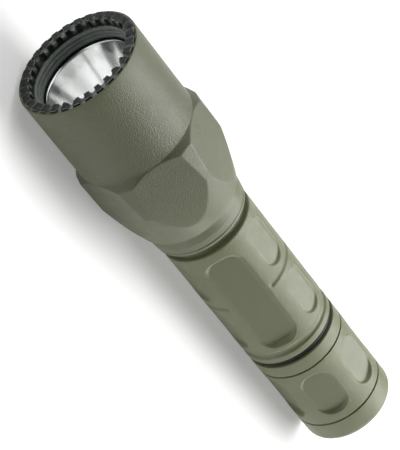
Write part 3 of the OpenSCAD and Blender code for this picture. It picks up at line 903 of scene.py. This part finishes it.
# stations where the dome springs from its skirt, outside and inside
DOME_OUT_T, DOME_IN_T = 128.7, 128.4
FLANGE_START, FLANGE_END, FLANGE_R = 126.0, 127.5, 9.85
GRIP_RINGS_R, GRIP_RING_GAP, GRIP_RING_DEPTH = 5.4, 1.7, 0.13


def boot_outline():
    """Domed rubber boot with a clamped flange, and three shallow grip rings on its crown."""
    top = []
    for a in np.linspace(0, math.pi / 2, 60):
        r = BOOT_R * math.cos(a)
        t = DOME_OUT_T + (BOOT_TOP - DOME_OUT_T) * math.sin(a)
        ring = GRIP_RING_DEPTH * (0.5 + 0.5 * math.cos(2 * math.pi * r / GRIP_RING_GAP))
        top.append((t - (ring if r < GRIP_RINGS_R else 0.0), r))
    top[-1] = (top[-1][0], 0.0)
    under = []
    for a in np.linspace(math.pi / 2, 0, 24):
        t = DOME_IN_T + (BOOT_TOP - BOOT_WALL - DOME_IN_T) * math.sin(a)
        under.append((t, (BOOT_R - BOOT_WALL) * math.cos(a)))
    under[0] = (under[0][0], 0.0)
    rim = [(FLANGE_START, BOOT_R - BOOT_WALL), (FLANGE_START, FLANGE_R), (FLANGE_END, FLANGE_R),
           (FLANGE_END, BOOT_R)]
    return under + rim + top


boot = lathe("switch_boot_dome", boot_outline(), 128)
paint(boot, BOOT)
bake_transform(boot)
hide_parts("switch_boot")

tail_coil = coil("tail_spring_wire", t0=113.52, t1=117.58, r0=3.2, r1=7.4, wire_r=0.38, turns=3.5,
                 flat_turns=0.6)
paint(tail_coil, GOLD)
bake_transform(tail_coil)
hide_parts("tail_spring")

return_coil = coil("switch_return_spring_wire", t0=119.72, t1=122.88, r0=5.0, r1=5.0, wire_r=0.14, turns=3.5,
                   flat_turns=0.6)
paint(return_coil, SPRING)
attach(return_coil, "tailcap")
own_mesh(return_coil)
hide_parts("switch_return_spring")

# ---- floor, light and camera ----

FLOOR_HALF = 6.0
FLAT_FRONT = 25.9
# the floor rises to the tail's radius over this length, so that it stays about 0.2 mm clear of the tail
FLOOR_RUN = 109.6
FLOOR_GAP = 0.00002


def floor_plane():
    """A wide pale sheet that the collar's flat rests on, tilted to pass close under the tail."""
    slope = (FLAT_APOTHEM - BODY_R) / FLOOR_RUN
    origin = Vector((FRONT_X - FLAT_FRONT * MM, 0, -FLAT_APOTHEM * MM - FLOOR_GAP))
    corners = []
    for sx, sy in ((-1, -1), (1, -1), (1, 1), (-1, 1)):
        corners.append((origin.x + sx * FLOOR_HALF, sy * FLOOR_HALF, origin.z - slope * sx * FLOOR_HALF))
    obj = mesh_object("floor", np.array(corners), np.array([[0, 1, 2, 3]]))
    paint(obj, backdrop("floor_paper"))


floor_plane()


def softbox(name, place, target, size, power):
    """Rectangular area light aimed at a target; sizes in metres, power in watts."""
    data = bpy.data.lights.new(name, "AREA")
    data.shape = "RECTANGLE"
    data.size, data.size_y = size
    data.energy = power
    obj = bpy.data.objects.new(name, data)
    bpy.context.scene.collection.objects.link(obj)
    obj.location = place
    obj.rotation_euler = (Vector(target) - Vector(place)).to_track_quat("-Z", "Y").to_euler()


CENTRE = (0.0, 0.0, 0.0)
# a bank above, behind and toward the tail, with a broad soft one overhead; a strip for the far rim;
# a low lamp off the tail; and a large card in front for the reflector to mirror
softbox("key_bank", (-0.74, -0.1, 0.8), CENTRE, (1.1, 0.75), 17.5)
softbox("overhead_bank", (-0.05, -0.42, 1.15), CENTRE, (1.5, 1.2), 8.0)
softbox("rim_strip", (-0.3, -1.1, 0.25), CENTRE, (1.2, 0.3), 2.0)
softbox("tail_lamp", (-0.5, 0.2, 0.05), (-0.03, 0.0, 0.0), (0.24, 0.16), 1.0)
softbox("front_card", (0.85, -0.62, 0.7), CENTRE, (1.6, 1.2), 6.8)

# the room: pale near the horizon, dim above
HORIZON_GLOW, CEILING_GLOW, GLOW_HEIGHT = 0.25, 0.06, 0.2
world = bpy.data.worlds.new("studio")
world.use_nodes = True
room = world.node_tree.nodes
room_direction = room.new("ShaderNodeTexCoord")
room_split = room.new("ShaderNodeSeparateXYZ")
room_fade = room.new("ShaderNodeMapRange")
room_fade.inputs["From Min"].default_value = 0.0
room_fade.inputs["From Max"].default_value = GLOW_HEIGHT
room_fade.inputs["To Min"].default_value = HORIZON_GLOW
room_fade.inputs["To Max"].default_value = CEILING_GLOW
world.node_tree.links.new(room_direction.outputs["Generated"], room_split.inputs[0])
world.node_tree.links.new(room_split.outputs[2], room_fade.inputs["Value"])
world.node_tree.links.new(room_fade.outputs["Result"], room["Background"].inputs["Strength"])
room["Background"].inputs["Color"].default_value = (1, 1, 1, 1)
bpy.context.scene.world = world
bpy.context.scene.view_settings.view_transform = "Standard"

CAMERA_PLACE = Vector((0.41962, 0.44918, 0.32396))
CAMERA_AIM = Vector((0.00746, 0.00077, -0.00107))
CAMERA_ROLL = math.radians(74.75)
FOCAL_LENGTH, SENSOR_WIDTH = 229.6, 36.0
camera_data = bpy.data.cameras.new("camera")
camera_data.lens = FOCAL_LENGTH
camera_data.sensor_width = SENSOR_WIDTH
camera_data.clip_start = 0.05
camera = bpy.data.objects.new("camera", camera_data)
bpy.context.scene.collection.objects.link(camera)
look = (CAMERA_AIM - CAMERA_PLACE).to_track_quat("-Z", "Y").to_matrix().to_4x4()
camera.matrix_world = Matrix.Translation(CAMERA_PLACE) @ look @ Matrix.Rotation(CAMERA_ROLL, 4, "Z")
bpy.context.scene.camera = camera
